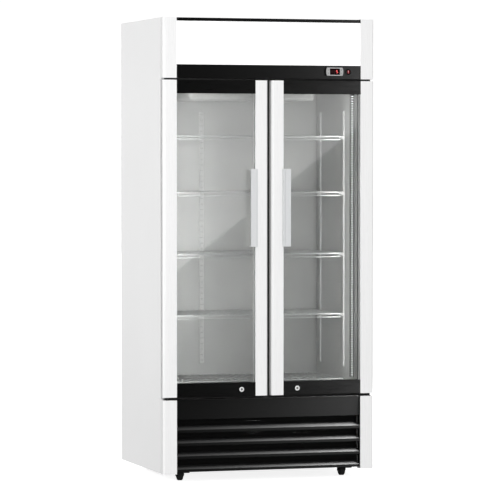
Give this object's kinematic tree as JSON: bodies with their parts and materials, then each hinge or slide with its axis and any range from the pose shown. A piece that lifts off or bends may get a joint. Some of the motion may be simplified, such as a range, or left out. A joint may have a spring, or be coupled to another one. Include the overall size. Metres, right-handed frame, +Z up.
{
  "type": "glass door merchandiser",
  "caption": "Upright two-door glass merchandiser: lit header sign, digital controller, wire shelves, LED strips, louvred base grille and small castors.",
  "frame": {"origin": "floor level under the middle of the whole object", "axes": "+Z up, doors face -Y, +X to the right as the customer sees it"},
  "size_m": [0.948, 0.722, 1.988],
  "materials": {
    "white_sheet": "satin powder coat",
    "white_extrusion": "smooth white",
    "galvanised_sheet": "galvanised",
    "black_sheet": "satin black",
    "foam": "rigid foam",
    "liner_sheet": "light grey coated sheet",
    "black_plastic": "matt black",
    "zinc_steel": "zinc plated",
    "led_profile": "anodised profile with diodes",
    "grey_plastic": "textured grey",
    "fin_aluminium": "fins",
    "sign_acrylic": "opal, lit from behind",
    "controller_grey": "satin grey",
    "switch_black": "gloss",
    "black_grille": "satin black",
    "compressor_black": "gloss black",
    "condenser_fins": "black coil",
    "bracket_black": "black steel",
    "castor_steel": "black steel",
    "castor_rubber": "matt",
    "shelf_wire": "plastic coated wire",
    "key_plastic": "satin grey",
    "black_rail": "satin black",
    "glass": "clear",
    "gasket_rubber": "soft PVC",
    "handle_plastic": "smooth white",
    "lock_chrome": "polished",
    "switch_red": "translucent red, lit",
    "fan_plastic": "black",
    "fan_aluminium": "pressed"
  },
  "bodies": {
    "root": {"side_panel_left": "white_sheet", "side_panel_right": "white_sheet", "back_panel": "galvanised_sheet", "top_panel": "black_sheet", "base_tray": "black_sheet", "insulation_foam": "foam", "inner_liner": "liner_sheet", "face_frame": "black_plastic", "shelf_supports": "zinc_steel", "wire_shelf_1": "shelf_wire", "wire_shelf_2": "shelf_wire", "wire_shelf_3": "shelf_wire", "wire_shelf_4": "shelf_wire", "floor_rack": "shelf_wire", "led_strips": "led_profile", "evaporator_cover": "grey_plastic", "evaporator_coil": "fin_aluminium", "header_posts": "white_extrusion", "header_sign": "sign_acrylic", "control_fascia": "black_sheet", "controller_case": "controller_grey", "switch_bezel": "switch_black", "base_posts": "white_extrusion", "base_grille": "black_grille", "compressor": "compressor_black", "condenser": "condenser_fins", "rear_grille": "galvanised_sheet", "hinge_brackets": "bracket_black", "rear_castor_brackets": "castor_steel"},
    "door_left": {"door_left_hinge_stile": "white_extrusion", "door_left_handle_stile": "white_extrusion", "door_left_rails": "black_rail", "door_left_glass_unit": "glass", "door_left_gasket": "gasket_rubber", "door_left_handle": "handle_plastic", "door_left_lock_barrel": "lock_chrome"},
    "lock_left": {"door_left_lock_plug": "lock_chrome"},
    "door_right": {"door_right_hinge_stile": "white_extrusion", "door_right_handle_stile": "white_extrusion", "door_right_rails": "black_rail", "door_right_glass_unit": "glass", "door_right_gasket": "gasket_rubber", "door_right_handle": "handle_plastic", "door_right_lock_barrel": "lock_chrome"},
    "lock_right": {"door_right_lock_plug": "lock_chrome"},
    "key_1": {"controller_key_1": "key_plastic"},
    "key_2": {"controller_key_2": "key_plastic"},
    "key_3": {"controller_key_3": "key_plastic"},
    "key_4": {"controller_key_4": "key_plastic"},
    "switch": {"switch_rocker": "switch_red"},
    "evaporator_fan": {"evaporator_fan": "fan_plastic"},
    "condenser_fan": {"condenser_fan": "fan_aluminium"},
    "castor_front_left": {"castor_fork_front_left": "castor_steel"},
    "wheel_front_left": {"castor_wheel_front_left": "castor_rubber"},
    "brake_left": {"brake_pedal_left": "castor_steel"},
    "wheel_rear_left": {"castor_wheel_rear_left": "castor_rubber"},
    "castor_front_right": {"castor_fork_front_right": "castor_steel"},
    "wheel_front_right": {"castor_wheel_front_right": "castor_rubber"},
    "brake_right": {"brake_pedal_right": "castor_steel"},
    "wheel_rear_right": {"castor_wheel_rear_right": "castor_rubber"}
  },
  "joints": [
    {"name": "door_left_swing", "type": "hinge", "parent": "root", "child": "door_left", "pos_m": [-0.451, -0.319, 1.044], "axis": [0, 0, -1], "range_deg": [0, 100]},
    {"name": "door_right_swing", "type": "hinge", "parent": "root", "child": "door_right", "pos_m": [0.451, -0.319, 1.044], "axis": [0, 0, 1], "range_deg": [0, 100]},
    {"name": "lock_left_turn", "type": "hinge", "parent": "door_left", "child": "lock_left", "pos_m": [-0.1255, -0.339, 0.396], "axis": [0, -1, 0], "range_deg": [0, 90]},
    {"name": "lock_right_turn", "type": "hinge", "parent": "door_right", "child": "lock_right", "pos_m": [0.1255, -0.339, 0.396], "axis": [0, 1, 0], "range_deg": [0, 90]},
    {"name": "key_1_press", "type": "slide", "parent": "root", "child": "key_1", "axis": [0, 1, 0], "range_m": [0, 0.0008], "stiffness_N_per_m": 800, "springref_m": -0.0006},
    {"name": "key_2_press", "type": "slide", "parent": "root", "child": "key_2", "axis": [0, 1, 0], "range_m": [0, 0.0008], "stiffness_N_per_m": 800, "springref_m": -0.0006},
    {"name": "key_3_press", "type": "slide", "parent": "root", "child": "key_3", "axis": [0, 1, 0], "range_m": [0, 0.0008], "stiffness_N_per_m": 800, "springref_m": -0.0006},
    {"name": "key_4_press", "type": "slide", "parent": "root", "child": "key_4", "axis": [0, 1, 0], "range_m": [0, 0.0008], "stiffness_N_per_m": 800, "springref_m": -0.0006},
    {"name": "switch_rock", "type": "hinge", "parent": "root", "child": "switch", "pos_m": [0.358, -0.3325, 1.76], "axis": [1, 0, 0], "range_deg": [0, 20]},
    {"name": "evaporator_fan_spin", "type": "hinge", "parent": "root", "child": "evaporator_fan", "pos_m": [0, 0.016, 1.664], "axis": [0, 0, 1], "continuous": true},
    {"name": "condenser_fan_spin", "type": "hinge", "parent": "root", "child": "condenser_fan", "pos_m": [-0.24, -0.191, 0.215], "axis": [0, 1, 0], "continuous": true},
    {"name": "castor_left_swivel", "type": "hinge", "parent": "root", "child": "castor_front_left", "pos_m": [-0.368, -0.196, 0.095], "axis": [0, 0, 1], "continuous": true},
    {"name": "wheel_front_left_roll", "type": "hinge", "parent": "castor_front_left", "child": "wheel_front_left", "pos_m": [-0.368, -0.218, 0.025], "axis": [1, 0, 0], "continuous": true},
    {"name": "brake_left_press", "type": "hinge", "parent": "castor_front_left", "child": "brake_left", "pos_m": [-0.368, -0.242, 0.068], "axis": [-1, 0, 0], "range_deg": [0, 18]},
    {"name": "wheel_rear_left_roll", "type": "hinge", "parent": "root", "child": "wheel_rear_left", "pos_m": [-0.368, 0.273, 0.025], "axis": [1, 0, 0], "continuous": true},
    {"name": "castor_right_swivel", "type": "hinge", "parent": "root", "child": "castor_front_right", "pos_m": [0.368, -0.196, 0.095], "axis": [0, 0, 1], "continuous": true},
    {"name": "wheel_front_right_roll", "type": "hinge", "parent": "castor_front_right", "child": "wheel_front_right", "pos_m": [0.368, -0.218, 0.025], "axis": [1, 0, 0], "continuous": true},
    {"name": "brake_right_press", "type": "hinge", "parent": "castor_front_right", "child": "brake_right", "pos_m": [0.368, -0.242, 0.068], "axis": [-1, 0, 0], "range_deg": [0, 18]},
    {"name": "wheel_rear_right_roll", "type": "hinge", "parent": "root", "child": "wheel_rear_right", "pos_m": [0.368, 0.273, 0.025], "axis": [1, 0, 0], "continuous": true}
  ]
}
